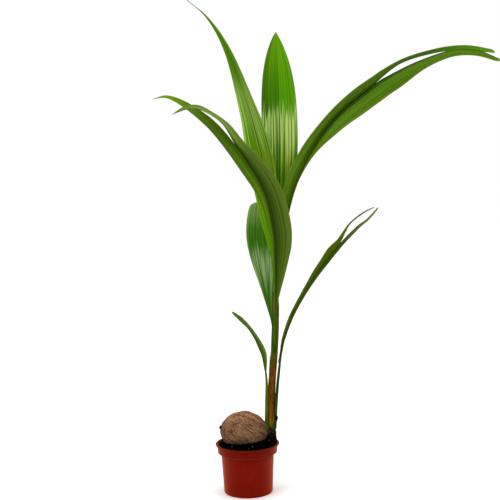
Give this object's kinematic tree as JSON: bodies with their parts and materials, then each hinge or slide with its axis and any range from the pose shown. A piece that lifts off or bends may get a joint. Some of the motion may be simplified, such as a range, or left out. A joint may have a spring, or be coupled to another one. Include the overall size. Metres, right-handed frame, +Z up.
{
  "type": "potted coconut palm seedling",
  "caption": "Young coconut palm growing from its husked nut, with broad pleated leaves that arch out, in a round plastic nursery pot.",
  "frame": {"origin": "middle of the pot's flat underside", "axes": "+Z up; +X towards the end of the nut that the shoot grows from, which is the right of the reference view; -Y towards its viewer"},
  "size_m": [1.0491, 0.6784, 1.4653],
  "materials": {
    "pot_plastic": "satin moulded plastic, dark red-brown",
    "compost": "rough, near black, crumbly",
    "nut_husk": "dry brown fibre",
    "dark_fibre": "dark rough fibre",
    "dry_sheath": "dry brown leaf sheath",
    "stalk_green": "smooth green stem",
    "leaf_green": "glossy pleated leaf"
  },
  "bodies": {
    "root": {"pot": "pot_plastic", "compost": "compost", "nut": "nut_husk", "nut_nub": "dark_fibre", "shoot_collar": "dark_fibre", "stem": "stalk_green", "sheath": "dry_sheath", "sheath_margin": "dry_sheath", "leaf_1_stalk": "stalk_green", "leaf_1_small_left_blade": "leaf_green", "leaf_2_stalk": "stalk_green", "leaf_2_slender_right_blade": "leaf_green", "leaf_2_slender_right_left_lobe": "leaf_green", "leaf_2_slender_right_right_lobe": "leaf_green", "leaf_3_back_blade": "leaf_green", "leaf_3_back_tip": "leaf_green", "leaf_4_front_left_blade": "leaf_green", "leaf_4_front_left_left_lobe": "leaf_green", "leaf_4_front_left_right_lobe": "leaf_green", "leaf_5_stalk": "stalk_green", "leaf_5_right_blade": "leaf_green", "leaf_5_right_left_lobe": "leaf_green", "leaf_5_right_right_lobe": "leaf_green", "leaf_6_stalk": "stalk_green", "leaf_6_tall_left_blade": "leaf_green", "leaf_7_stalk": "stalk_green", "leaf_7_upright_blade": "leaf_green"}
  },
  "joints": []
}
